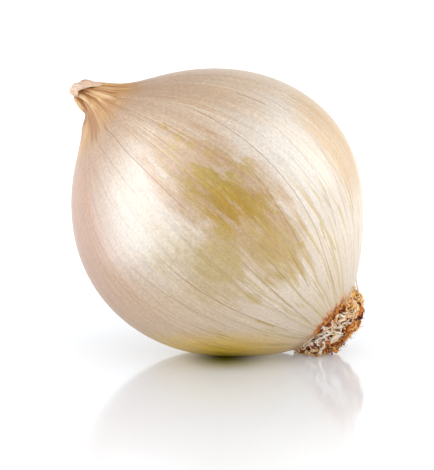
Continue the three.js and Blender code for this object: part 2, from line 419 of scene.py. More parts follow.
def sleeve_path(cut, outward):
    """Radius and height along a sleeve, in columns of their own length and roll."""
    along = np.linspace(0, 1, SLEEVE_STEPS)
    path = np.zeros((SLEEVE_STEPS, SLEEVE_SEGMENTS, 2))
    for column in range(SLEEVE_SEGMENTS):
        rolled = smooth_curve(FOLD_FOOT + HAT_TIP, along * cut[column])
        tucked = smooth_curve(FOLD_FOOT + TUCKED_TIP, along * cut[column])
        path[:, column] = tucked + (rolled - tucked) * outward[column]
    return path


def thicken(outer, thickness):
    """Points of the inside of a sleeve, thinner toward its tip."""
    along = np.linspace(0, 1, SLEEVE_STEPS)[:, None]
    around = (np.roll(outer, -1, axis=1) - np.roll(outer, 1, axis=1)) / 2
    normal = unit(np.cross(np.gradient(outer, axis=0), around))
    edge = np.clip((1 - along) / SLEEVE_TAPER, 0, 1) ** 0.5
    return outer + normal * thickness * lerp((SLEEVE_RIM, 1), edge)[..., None]


def sleeve(share, reach, deepest, thickness, seed):
    """One papery sleeve as a closed sheet. The marks say how deep in a crease
    each point lies, how far along the sleeve and where round it."""
    random = np.random.default_rng(seed)
    along = np.linspace(0, 1, SLEEVE_STEPS)[:, None]
    turn = np.arange(SLEEVE_SEGMENTS) * 2 * math.pi / SLEEVE_SEGMENTS - math.pi
    cut = reach * (1 - SLEEVE_RAGGED * (1 + loop_noise(random, turn, *RAGGED_WAVES)))
    path = sleeve_path(cut, np.interp(turn / DEGREE, *zip(*ROLL_BY_TURN)))
    crease = np.abs(np.sin((FOLD_COUNT * turn + 0.5 * loop_noise(random, turn, *FOLD_WAVES)) / 2)) ** 0.5
    pleat = SLEEVE_PLEAT * loop_noise(random, turn, *SLEEVE_PLEAT_WAVES)
    inward = -deepest * (1 - crease + 0.4 * pleat) * smooth_step(0.02, 0.45, along)
    for height, around, waves, phase, start, full in CRUMPLES:
        wave = np.cos(around * turn + waves * along + phase * seed)
        inward = inward + height * wave * smooth_step(start, full, along)

    step = unit(np.gradient(path, axis=0))
    radius = path[..., 0] * (share + (1 - share) * SLEEVE_SPLAY * (1 - along)) + inward * step[..., 1]
    radius = np.maximum(radius, NARROWEST_SLEEVE)
    heading = turn + FOLD_TWIST * along
    aside = radius * np.sin(heading)
    slant = TIP_SLANTS[0] * np.maximum(aside, 0) + TIP_SLANTS[1] * np.maximum(-aside, 0)
    height = path[..., 1] - inward * step[..., 0] - (1 - share) * SLEEVE_DROP
    height = height - slant * smooth_step(0.2, 0.6, along)
    aside = aside + side_shift(height) + TIP_SHIFT * smooth_step(0.2, 0.7, along)
    outer = np.stack([aside, height, radius * np.cos(heading)], axis=-1)

    valley = np.clip((1 - crease) + 0.5 - 0.5 * pleat, 0, 1)
    mark = np.stack(np.broadcast_arrays(valley, along, turn / math.pi), axis=-1).reshape(-1, 3)
    points = np.concatenate([outer.reshape(-1, 3), thicken(outer, thickness).reshape(-1, 3)])
    # The inside's mark lies deeper, so the inside is coloured darker: painted shade.
    return points, np.concatenate([mark, mark + np.array([INSIDE_DEEPER, 0, 0])])


def sleeve_faces():
    """Quads of both sides of a sleeve, joined along its two rims."""
    side = SLEEVE_STEPS * SLEEVE_SEGMENTS
    faces = quads(SLEEVE_STEPS, SLEEVE_SEGMENTS, turned=True) + quads(SLEEVE_STEPS, SLEEVE_SEGMENTS, side)
    for row in (0, side - SLEEVE_SEGMENTS):
        for column in range(SLEEVE_SEGMENTS):
            here, after = row + column, row + (column + 1) % SLEEVE_SEGMENTS
            quad = (here, side + here, side + after, after)
            faces.append(quad if row == 0 else quad[::-1])
    return faces


def build_folds(material):
    join_sheets("neck_folds", "fold", [sleeve(*form) for form in SLEEVES], sleeve_faces(), material)


# ---------------------------------------------------------------- root mat
MAT_RADIUS = 10.7
MAT_HEIGHT = 7.8
MAT_SHIFT = 0.2
CORE_SHARE = 0.85
CORE_POLAR = 0.56 * math.pi
CORE_RINGS = 30
CORE_SIDES = 96
# The core is tinted near the darkest: partly the plate's own brown and partly painted shade seen in the gaps
# between roots.
CORE_TINT = 0.04
STRAND_COUNT = 84
STRAND_RADIUS = 0.55
STRAND_REACH = (0.3, 0.6)
STRAND_FAN = 3.4
STRAND_SINK = 0.07
STRAND_LIFT = (0.95, 1.03)
LOOP_SHARE = 0.5
FREE_SPAN = 0.6
GOLDEN_ANGLE = math.pi * (3 - math.sqrt(5))
ROOT_SEED = 23
STRAND_SIDES = 8
STRAND_STEPS = 16
STRAND_SLIMMING = 0.80
END_PINCHES = (0.5, 0.45)

# Finer roots that the solids leave out. Each kind: how many, sides, steps,
# the polar range they start in, and their rise, reach, curl and radius.
FINE_ROOTS = (
    ("stub", 620, 7, 14, (0.85, 1.60), (0.9, 2.4), (0.8, 2.4), (2.0, 6.0), (0.16, 0.36)),
    ("fibre", 760, 5, 12, (0.0, 1.35), (0.4, 1.3), (2.5, 7.0), (0.3, 1.6), (0.10, 0.24)),
    ("wisp", 320, 4, 10, (0.2, 1.60), (1.2, 2.3), (0.6, 2.4), (0.5, 3.5), (0.05, 0.11)),
)
FINE_SEED = 41
MAT_POLARS = (0.02, 1.66)
FINE_SINK = 0.05
# Tints of the roots, and the shares that are dark and bleached, on the outer
# face and by the skin. The dark tints stand partly for painted shade in the gaps
# of the mat. A fibre that is paler than its limit is drawn again.
DARK_TINTS = (0.0, 0.2)
BROWN_TINTS = (0.20, 0.64)
GOLDEN_TINTS = (0.46, 0.80)
BLEACHED_TINTS = (0.66, 1.0)
DARK_SHARES = (0.29, 0.15)
BLEACHED_SHARES = (0.06, 0.92)
PALEST_FIBRE = 0.74
FIBRE_TINTS = (0.05, 0.75)
# How far the free ends stand off the mat, in mm.
ROOT_FLARE = {"stub": 0.7, "fibre": 1.2, "wisp": 2.0}
HAIR_COUNT = 70
HAIR_SIDES = 4
HAIR_STEPS = 12
HAIR_SEED = 67
HAIR_LENGTH = (0.06, 0.26)
HAIR_RADIUS = (0.03, 0.07)
HAIR_TINT = (0.1, 0.6)


def mat_points(share, polar, turn):
    radius = share * MAT_RADIUS * np.sin(polar)
    depth = ROOT_SEAT + share * MAT_HEIGHT * np.cos(polar)
    return np.stack([radius * np.sin(turn) + MAT_SHIFT, -depth, radius * np.cos(turn)], axis=-1)


def tube_round(centre, radius, sides):
    """Points of a tube round a line of centres, pinched at both ends."""
    tangent = unit(np.gradient(centre, axis=0))
    sideways = unit(np.cross(tangent, centre + np.array([0, ROOT_SEAT, 0])))
    upward = np.cross(sideways, tangent)
    angle = (np.arange(sides) * 2 * math.pi / sides)[None, :, None]
    thick = np.array(radius)
    thick[[0, -1]] *= END_PINCHES
    ring = sideways[:, None] * np.cos(angle) + upward[:, None] * np.sin(angle)
    return (centre[:, None] + ring * thick[:, None, None]).reshape(-1, 3)


class Strands:
    """Tubes gathered into one mesh, each with its tint for the material."""

    def __init__(self):
        self.points, self.faces, self.tints = [], [], []
        self.total = 0

    def add(self, centre, radius, sides, tint, random):
        """One tube. It takes a spare draw, which the roots after it count on."""
        self.gather(tube_round(centre, radius, sides), len(centre), sides, tint)
        random.uniform()

    def gather(self, points, rings, sides, tint):
        self.faces += tube_faces(rings, sides, self.total)
        self.points.append(points)
        self.tints.append(np.full(len(points), tint))
        self.total += len(points)

    def make(self, name, material):
        make_piece(name, np.concatenate(self.points), self.faces, material, "root_tuft", "dry_root",
                   tint=np.concatenate(self.tints))


def strand_tint(polar, turn, random):
    """Colour of a root, from 0, dark red-brown, through gold to 1, bleached.
    Roots by the skin are bleached, golden on the top side, and those on the
    outer face are brown."""
    turn = (turn + math.pi) % (2 * math.pi) - math.pi
    below = 0.28 * smooth_step(0, -0.8, turn)
    rim = smooth_step(0.85 + below, 1.12 + below, polar) * smooth_step(-1.45, -1.05, turn)
    golden = rim * smooth_step(0.35, 0.90, math.sin(turn))
    if random.uniform() < lerp(DARK_SHARES, rim):
        return random.uniform(*DARK_TINTS)
    if random.uniform() < golden:
        return random.uniform(*GOLDEN_TINTS)
    if random.uniform() < lerp(BLEACHED_SHARES, rim):
        return random.uniform(*BLEACHED_TINTS)
    return random.uniform(*BROWN_TINTS)


def knots(waves, along):
    """Thickness along a root with its knots. Each wave: height, count and phase."""
    return 1 + sum(height * np.sin(count * along + phase) for height, count, phase in waves)


def off_the_pole(polar):
    """The sine of a root's polar angle, held off zero in the middle of the mat."""
    return max(0.35, math.sin(polar))


def add_main_strands(strands):
    """The same strands as the solid's, slimmer and with their knots."""
    random = np.random.default_rng(ROOT_SEED)
    draw = draw_from(ROOT_SEED)
    along = np.linspace(0, 1, STRAND_STEPS)
    start = CORE_SHARE - STRAND_SINK
    for number in range(STRAND_COUNT):
        polar = math.acos(1 - (number + 0.5) / STRAND_COUNT)
        turn = number * GOLDEN_ANGLE
        heading = STRAND_FAN * (next(draw) - 0.5)
        reach = lerp(STRAND_REACH, next(draw)) * along
        span = 1 if next(draw) < LOOP_SHARE else FREE_SPAN
        lift = lerp(STRAND_LIFT, next(draw)) - start
        thickness = STRAND_RADIUS * (0.8 + 0.5 * next(draw)) * STRAND_SLIMMING
        centre = mat_points(start + lift * np.sin(math.pi * span * along),
                            polar + reach * math.cos(heading),
                            turn + reach * math.sin(heading) / off_the_pole(polar))
        radius = thickness * (1 - 0.35 * along) * knots(((0.12, 17, 5 * polar), (0.08, 31, turn)), along)
        strands.add(centre, radius, STRAND_SIDES, strand_tint(polar, turn, random), random)


def add_fine_roots(strands, stubs):
    """The finer roots, curled and knotted: stubs by themselves, the others with the strands."""
    random = np.random.default_rng(FINE_SEED)
    for kind, count, sides, steps, polars, rises, reaches, curls, radii in FINE_ROOTS:
        along = np.linspace(0, 1, steps)
        for number in range(count):
            share = (number + 0.5) / count
            polar = math.acos(lerp((math.cos(polars[0]), math.cos(polars[1])), share))
            turn = number * GOLDEN_ANGLE + random.uniform(-0.2, 0.2)
            heading = random.uniform(-math.pi, math.pi)
            if kind == "fibre":
                heading = random.choice([0, math.pi]) + random.normal(0, 0.5)
            curl = random.uniform(*curls) * random.choice([-1, 1])
            reach = random.uniform(*reaches) * along
            rise = random.uniform(*rises)
            span = random.uniform(0.55, 1.0)
            bend = heading + curl * along
            sway = random.uniform(-0.25, 0.25) * np.sin(7 * along + number)
            flare = random.uniform(0, ROOT_FLARE[kind]) * along ** 2
            around = (reach * np.cos(bend) + sway) / (MAT_RADIUS * off_the_pole(polar))
            across = (reach * np.sin(bend) - sway) / MAT_RADIUS
            rise = (rise * np.sin(math.pi * span * along) + flare) / MAT_RADIUS
            centre = mat_points(CORE_SHARE - FINE_SINK + rise,
                                np.clip(polar + across, *MAT_POLARS), turn + around)
            thickness = random.uniform(*radii) * (1 - 0.4 * along)
            tint = strand_tint(polar, turn, random)
            if kind == "fibre" and tint > PALEST_FIBRE:
                tint = random.uniform(*FIBRE_TINTS)
            radius = thickness * knots(((0.14, 13, number), (0.08, 29, 0)), along)
            (stubs if kind == "stub" else strands).add(centre, radius, sides, tint, random)


def add_core(strands):
    """The corky plate under the roots, lumpy with broken root bases."""
    polar, turn = np.meshgrid(np.linspace(0.001, CORE_POLAR, CORE_RINGS),
                              np.arange(CORE_SIDES) * 2 * math.pi / CORE_SIDES, indexing="ij")
    bumps = 0.03 * np.sin(9 * turn + 11 * polar) + 0.02 * np.sin(23 * turn - 17 * polar)
    core = mat_points(CORE_SHARE - 0.04 + bumps, polar, turn).reshape(-1, 3)
    strands.gather(core, CORE_RINGS, CORE_SIDES, CORE_TINT)


def build_root_mat(material):
    strands, stubs = Strands(), Strands()
    add_core(strands)
    add_main_strands(strands)
    add_fine_roots(strands, stubs)
    strands.make("root_mat", material)
    stubs.make("root_stubs", material)


def build_root_hairs(material):
    """Fine stray rootlets that stand off the mat."""
    random = np.random.default_rng(HAIR_SEED)
    strands = Strands()
    along = np.linspace(0, 1, HAIR_STEPS)
    for _ in range(HAIR_COUNT):
        polar = random.uniform(0.3, 1.5)
        turn = random.uniform(-math.pi, math.pi)
        drift = random.uniform(-0.3, 0.3, 2)
        length = random.uniform(*HAIR_LENGTH)
        curl = random.uniform(-0.5, 0.5)
        centre = mat_points(
            0.88 + length * along ** 0.8,
            polar + drift[0] * along + 0.10 * np.sin(4 * along + curl),
            turn + drift[1] * along + 0.3 * curl * along ** 2)
        radius = random.uniform(*HAIR_RADIUS) * (1 - 0.75 * along)
        strands.add(centre, radius, HAIR_SIDES, random.uniform(*HAIR_TINT), random)
    strands.make("root_hairs", material)


# ---------------------------------------------------------------- loose skin
# Scraps of the outer skin where it has torn round the root plate. Each: turn
# in degrees, width and length in mm, how far it lifts, and its seed.
FLAKES = ((84, 2.6, 3.4, 1.5, 1), (62, 1.6, 1.2, 0.5, 2), (-28, 1.8, 1.1, 0.4, 4),
          (128, 3.0, 2.0, 0.6, 7), (166, 2.6, 1.8, 0.5, 8), (-148, 2.8, 1.9, 0.6, 9))
FLAKE_POLAR = 0.885 * math.pi
FLAKE_STEPS = (14, 14)
# Small dark scales round the root plate, thick where the photo shows the stain.
# Their dark base under the roots is partly rust stain and partly painted shade.
FRINGE_POLAR = 0.912 * math.pi
FRINGE_COUNT = 150
FRINGE_STEPS = (9, 5)
FRINGE_LENGTH = (0.7, 2.2)
FRINGE_UNSTAINED = 0.35
FRINGE_WIDTH = (0.5, 1.5)
FRINGE_SEED = 19
STAIN_TURN = 13 * DEGREE
STAIN_SPREAD = 30 * DEGREE
SCRAP_THICKNESS = 0.10
# From here a scrap runs on straight instead of turning in over the root plate.
SCRAP_TURN_END = 0.93 * math.pi


def scrap(steps, shape):
    """Points and marks of a thin scrap, from a shape that gives the polar angle,
    turn and height over the skin across and along it."""
    along = np.linspace(0, 1, steps[0])[:, None]
    polar, turn, rise = shape(np.linspace(-1, 1, steps[1])[None, :], along)
    beyond = np.maximum(polar - SCRAP_TURN_END, 0) * GLOBE_RADIUS
    sides = []
    for height in (rise, rise - SCRAP_THICKNESS):
        side = skin_points(np.minimum(polar, SCRAP_TURN_END), turn, height)
        side[..., 1] -= beyond
        sides.append(side.reshape(-1, 3))
    return np.concatenate(sides), np.tile(np.broadcast_to(along, polar.shape).ravel(), 2)


def flake(turn, width, length, lift, seed):
    """A torn scrap: a thin sheet that starts on the skin and lifts off it."""
    phase = np.random.default_rng(seed).uniform(0, 6)

    def shape(across, along):
        torn = 1 - 0.28 * (1 + np.sin(4.1 * across + phase) * np.cos(9.3 * across)) * 0.5
        half = (1 - 0.90 * along ** 1.4) * width / 2 / (GLOBE_RADIUS * math.sin(FLAKE_POLAR))
        polar = FLAKE_POLAR + along * torn * length / (GLOBE_RADIUS + ROOT_RISE)
        curl = 0.12 * np.sin(5 * across + 3 * along + seed)
        return polar, turn * DEGREE + across * half, lift * (along * torn) ** 1.5 + curl * along + 0.04

    return scrap(FLAKE_STEPS, shape)


def build_flakes(material):
    flakes = [flake(*form) for form in FLAKES]
    join_sheets("skin_flakes", "along", flakes, sheet_faces(*FLAKE_STEPS), material)


def root_scale(turn, width, length, random):
    """A pointed scale that starts under the roots and lies on the skin."""
    bend = random.uniform(-0.04, 0.04)
    point = random.uniform(1.0, 2.2)
    lift = random.uniform(0.15, 0.50)

    def shape(across, along):
        polar = FRINGE_POLAR - along * length / GLOBE_RADIUS + 0 * across
        half = (1 - 0.93 * along ** point) * width / 2 / (GLOBE_RADIUS * np.sin(polar))
        rise = 0.05 + lift * (1 - along) ** 1.5 + 0.06 * np.cos(3 * across + 5 * along)
        return polar, turn + bend * along ** 2 + across * half, rise

    return scrap(FRINGE_STEPS, shape)


def build_fringe(material):
    random = np.random.default_rng(FRINGE_SEED)
    scales = []
    for number in range(FRINGE_COUNT):
        turn = (number + random.uniform(-0.4, 0.4)) / FRINGE_COUNT * 2 * math.pi - math.pi
        stained = math.exp(-(turn_apart(turn, STAIN_TURN) / STAIN_SPREAD) ** 4)
        length = lerp(FRINGE_LENGTH, random.uniform()) * lerp((FRINGE_UNSTAINED, 1), stained)
        points, along = root_scale(turn, lerp(FRINGE_WIDTH, random.uniform()), length, random)
        scales.append((points, along * 0.6 + random.uniform(-0.12, 0.12) + 0.55 * (1 - stained)))
    join_sheets("root_fringe", "along", scales, sheet_faces(*FRINGE_STEPS), material)


# ---------------------------------------------------------------- materials
def math_node(operation):
    return lambda value, *others: value.nodes.math(operation, value, *others)


class Value:
    """A value in a shader, which adds, subtracts, multiplies and divides like a number."""
    __add__ = math_node("ADD")
    __sub__ = math_node("SUBTRACT")
    __mul__ = math_node("MULTIPLY")
    __truediv__ = math_node("DIVIDE")
    __abs__ = math_node("ABSOLUTE")

    def __init__(self, nodes, socket):
        self.nodes, self.socket = nodes, socket

    def span(self, low, high, to_low=0, to_high=1, form="SMOOTHSTEP"):
        """The value, taken from one range to another and held at its ends."""
        return self.nodes.value("ShaderNodeMapRange", {
            "Value": self, "From Min": low, "From Max": high, "To Min": to_low, "To Max": to_high},
            interpolation_type=form)

    def evenly(self, low, high, to_low, to_high):
        return self.span(low, high, to_low, to_high, "LINEAR")


class Nodes:
    """Short calls for building the nodes of one material or world."""

    def __init__(self, owner):
        self.owner = owner
        owner.use_nodes = True
        self.tree = owner.node_tree

    def feed(self, socket, value):
        """Link a shader's value to a socket, or set the socket to a plain one."""
        if isinstance(value, Value):
            self.tree.links.new(value.socket, socket)
        else:
            socket.default_value = value

    def node(self, kind, inputs=None, **settings):
        made = self.tree.nodes.new(kind)
        for key, value in settings.items():
            setattr(made, key, value)
        for key, value in (inputs or {}).items():
            self.feed(made.inputs[key], value)
        return made

    def value(self, kind, inputs=None, output=0, **settings):
        return Value(self, self.node(kind, inputs, **settings).outputs[output])

    def attribute(self, name, output="Fac"):
        return self.value("ShaderNodeAttribute", output=output, attribute_name=name)

    def position(self, output="Object"):
        return self.value("ShaderNodeTexCoord", output=output)

    def parts(self, vector):
        return [Value(self, part) for part in self.node("ShaderNodeSeparateXYZ", {0: vector}).outputs]

    def math(self, operation, *values):
        return self.value("ShaderNodeMath", dict(enumerate(values)), operation=operation)

    def measure(self, operation, *vectors):
        return self.value("ShaderNodeVectorMath", dict(enumerate(vectors)), "Value", operation=operation)

    def stretch(self, vector, scale, shift=(0, 0, 0)):
        return self.value("ShaderNodeMapping", {"Vector": vector, "Scale": scale, "Location": shift})

    def noise(self, vector, scale, detail, roughness=0.5, distortion=0):
        return self.value("ShaderNodeTexNoise", {
            "Vector": vector, "Scale": scale, "Detail": detail,
            "Roughness": roughness, "Distortion": distortion}, "Fac")

    def grain(self, vector, scale, detail, roughness=0.5, shift=(0, 0, 0), distortion=0):
        """Noise that is stretched along the parts of a vector."""
        return self.noise(self.stretch(vector, scale, shift), 1, detail, roughness, distortion)

    def mottle(self, scale, detail=4, roughness=0.6):
        """Noise in space, with its scale per metre."""
        return self.noise(self.position(), scale, detail, roughness)

    def mix(self, share, under, over, blend="MIX"):
        inputs = {0: share, 6: under, 7: over}
        return self.value("ShaderNodeMix", inputs, 2, data_type="RGBA", blend_type=blend)

    def ramp(self, value, stops):
        made = self.node("ShaderNodeValToRGB", {0: value})
        elements = made.color_ramp.elements
        while len(elements) < len(stops):
            elements.new(0.5)
        for element, (place_on, colour) in zip(elements, stops):
            element.position = place_on
            element.color = colour
        return Value(self, made.outputs["Color"])

    def finish(self, colour, roughness, height, bump, bump_distance=0.0003, **others):
        """Feed the material's surface. Other inputs are named with _ for a space."""
        normal = self.value("ShaderNodeBump", {"Height": height, "Strength": bump, "Distance": bump_distance})
        surface = self.tree.nodes["Principled BSDF"].inputs
        values = {"Normal": normal, "Base Color": colour, "Roughness": roughness, **others}
        for name, value in values.items():
            self.feed(surface[name.replace("_", " ")], value)
        return self.owner


def material_nodes(name):
    return Nodes(bpy.data.materials.new(name))


def linear(red, green, blue):
    """A colour given as it looks on screen, from 0 to 255, made linear."""
    def channel(value):
        value /= 255
        return value / 12.92 if value <= 0.04045 else ((value + 0.055) / 1.055) ** 2.4
    return (channel(red), channel(green), channel(blue), 1)


NECK_TAN = linear(192, 132, 52)
SHOULDER_TAN = linear(209, 172, 139)
UPPER_TAN = linear(218, 184, 150)
CREAM = linear(229, 204, 174)
ROOT_CREAM = linear(244, 223, 199)
BLUSH_AND_SHADE = linear(194, 138, 106)
PEACH = linear(217, 180, 141)
WARM_RIM = linear(220, 172, 102)
PALE_SKIN_AND_SHEEN = linear(236, 222, 206)
PAINTED_HIGHLIGHT_WHITE = linear(228, 216, 204)
GOLD = linear(192, 154, 44)
DEEP_GOLD = linear(190, 144, 6)
BELLY_GOLD_AND_SHADE = linear(255, 208, 54)
TARNISH = linear(200, 154, 110)
OLIVE = linear(192, 160, 72)
YELLOW = linear(196, 162, 40)
STRAW = linear(206, 176, 104)
GLINT_WHITE = linear(250, 244, 232)
VEIN_BROWN = linear(142, 84, 14)
RUST = linear(140, 52, 0)
ROOT_ORANGE = linear(224, 140, 20)
PALE_FOLD = linear(218, 172, 106)
PALE_RIDGE_AND_HIGHLIGHT = linear(232, 194, 146)
NECK_BROWN = linear(178, 112, 34)
NECK_DULL = linear(158, 90, 8)
GROOVE_BROWN = linear(166, 106, 36)
FOLD_TIP = linear(252, 218, 192)
PALE_EDGE_AND_HIGHLIGHT = linear(244, 226, 190)
FOLD_SPOT = linear(176, 118, 66)

# Runs of colour: the skin from neck to root, its creases at the neck from
# shallow to deep, the folds from crest to crease, torn scraps from the skin to
# their tip, scales round the root from the stain outward, and roots by tint.
SKIN_COLOURS = ((0.05, NECK_TAN), (0.12, SHOULDER_TAN), (0.26, UPPER_TAN), (0.42, CREAM),
                (0.72, ROOT_CREAM), (0.93, CREAM))
# The neck's creases darken from shallow to deep, partly as painted shade.
CREASE_AND_SHADE_COLOURS = ((0.0, PALE_FOLD), (0.25, NECK_TAN), (0.6, NECK_BROWN), (1.0, GROOVE_BROWN))
# The folds darken from crest to crease, partly as painted shade.
FOLD_COLOURS = ((0.0, linear(250, 228, 204)), (0.3, linear(236, 198, 164)), (0.55, linear(198, 144, 94)),
                (0.8, linear(170, 106, 44)), (1.0, linear(130, 74, 26)))
FLAKE_COLOURS = ((0.0, linear(220, 190, 156)), (0.5, linear(212, 178, 144)), (1.0, linear(224, 204, 184)))
# The scales' darkest colours, under the roots, are partly painted shade.
FRINGE_COLOURS = ((0.0, linear(92, 24, 0)), (0.2, linear(156, 64, 4)), (0.42, linear(226, 144, 44)),
                  (0.65, linear(232, 188, 124)), (1.0, linear(228, 206, 182)))
# The roots' darkest stops stand partly for painted shade in the mat's gaps, and the palest end partly for
# painted highlight.
ROOT_COLOURS = ((0.0, linear(48, 8, 0)), (0.18, linear(148, 58, 8)), (0.36, linear(240, 146, 56)),
                (0.58, linear(255, 212, 128)), (0.76, linear(252, 220, 182)), (1.0, linear(255, 250, 238)))

# Soft patches: bearing of the middle (toward the top side, up the neck and
# toward the viewer), the angles in degrees where it starts to fade and where
# it ends, and its share over what is under it.
# A pink tint on the left side, dark enough toward the left rim to be painted shade there.
BLUSH_AND_SHADE_PATCH = ((-0.86, 0.47, 0.14), 16, 58, 0.8)
PEACH_PATCH = ((-0.80, -0.36, 0.48), 12, 52, 0.55)
# Whiter patches where the two softboxes' highlights fall: painted highlight in the skin's colour.
PAINTED_HIGHLIGHT_PATCHES = (((0.72, -0.02, 0.69), 8, 40, 0.72), ((-0.18, 0.42, 0.89), 8, 40, 0.55))
WARM_PATCH = ((0.96, -0.18, 0.20), 5, 32, 0.85)
# Gold on the underside where it meets the table: partly the skin's gold and partly painted shade and bounce
# from the table.
BELLY_SHADE_PATCH = ((-0.68, -0.70, 0.22), 12, 36, 0.95)
# Painted glints, small white highlights on wrinkles of the skin, by bearing and size in degrees, and how much
# of that isn't faded.
PAINTED_GLINTS = (((0.61, 0.73, 0.31), 0.9), ((0.76, 0.61, 0.23), 0.8), ((0.77, 0.56, 0.31), 0.7),
          ((0.35, 0.80, 0.48), 0.5), ((-0.30, 0.62, 0.72), 0.5))
GLINT_CORE = 0.4
# One short crease: its turn and the polar angles it runs between, how far it
# takes to taper at each end, and where its sides start and end, in degrees.
NICK = (59, 58, 69)
NICK_TAPER = 1.5
NICK_SIDES = (0.17, 0.69)
NICK_SHARE = 0.40
# Patches along the meridians: turn, polar angle, their half sizes, how ragged
# their edges are, and their share.
TARNISH_BAND = (11, 78, 24, 50, 2.4, 0.95)
OLIVE_BAND = (-17, 94, 21, 25, 2.6, 0.50)
OLIVE_SPOT = (-8, 97, 13, 15, 2.4, 0.72)
GOLD_BAND = (13, 81, 19, 48, 2.6, 1.0)
GOLD_CORE = (10, 86, 13, 15, 2.2, 1.0)
LOWER_GOLD = (8, 113, 13, 17, 2.4, 0.55)
NECK_SHADE = (-30, 13, 17, 9, 2.0, 0.65)
# Golden spots that show one by one: turn, polar angle and half sizes.
GOLD_SPOTS = ((20, 51, 3.2, 3.4), (20, 57, 2.8, 2.8), (22, 65, 2.8, 3.0), (14, 52, 2.2, 2.6),
              (21, 42, 2.6, 2.6), (27, 79, 4, 5), (20, 79, 3, 5), (14, 80, 4, 6), (2, 90, 4, 6),
              (-11, 119, 3, 5))
SPOT_RAGGEDNESS = 2.0
SPOT_SHARE = 0.42
# The veins that show in the photo: strength, half width in mm,
# and the turn and polar angle of a few points on the way from neck to root.
VEINS = (
    (0.90, 0.15, ((-9, 9), (-12, 14), (-7, 25), (-5, 37), (-3, 52), (-2, 76))),
    (0.70, 0.13, ((-30, 13), (-25, 23), (-18, 35), (-14, 57))),
    (0.60, 0.12, ((-42, 24), (-33, 35), (-28, 52), (-26, 66))),
    (0.40, 0.12, ((-55, 26), (-45, 35), (-40, 53), (-38, 62))),
    (0.40, 0.12, ((-63, 38), (-53, 53), (-48, 68))),
    (0.55, 0.13, ((34, 9), (40, 18), (42, 29), (42, 39))),
    (0.80, 0.16, ((39, 42), (37, 58), (34, 86), (30, 117), (28, 130), (27, 152))),
    (0.38, 0.15, ((66, 56), (64, 70), (61, 84))),
    (0.60, 0.14, ((51, 67), (49, 80), (45, 107), (41, 126))),
    (0.70, 0.14, ((27, 80), (24, 94), (20, 115), (18, 128))),
    (0.70, 0.14, ((15, 113), (13, 123), (11, 136))),
    (0.80, 0.15, ((-2, 102), (-3, 122), (-5, 155))),
    (0.80, 0.15, ((-24, 76), (-23, 93), (-20, 128), (-19, 149))),
    (0.65, 0.13, ((-38, 73), (-35, 87), (-32, 105), (-31, 122))),
    (0.60, 0.13, ((-49, 81), (-45, 92), (-40, 112), (-38, 126))),
    (0.60, 0.13, ((-8, 105), (-9, 121), (-10, 141))),
    (0.65, 0.13, ((6, 109), (5, 121), (4, 145))),
    (0.60, 0.16, ((60, 91), (55, 107), (51, 127))),
    (0.55, 0.16, ((67, 90), (65, 108), (62, 125))),
)
# Yellow streaks in the skin, given in the same way.
STREAKS = (
    (0.65, 0.55, ((21, 115), (20, 122), (18, 132))),
    (0.70, 0.40, ((34, 116), (32, 124))),
    (0.55, 0.45, ((15, 111), (13, 123), (12, 133))),
    (0.50, 0.80, ((9, 121), (7, 132))),
    (0.70, 0.45, ((-21, 128), (-20, 139))),
    (0.50, 0.50, ((-12, 112), (-11, 122))),
    (0.55, 0.50, ((-3, 120), (-4, 138))),
)
# Lines scattered from neck to root: how many round the axis, half width in mm,
# how far they wander, and a seed.
SCATTERED_VEINS = (40, 0.15, 1.0, 3)
FINE_VEINS = (120, 0.14, 1.0, 71)
THREADS = (90, 0.55, 1.0, 133)
NECK_LINES = (30, 0.20, 0.6, 211)


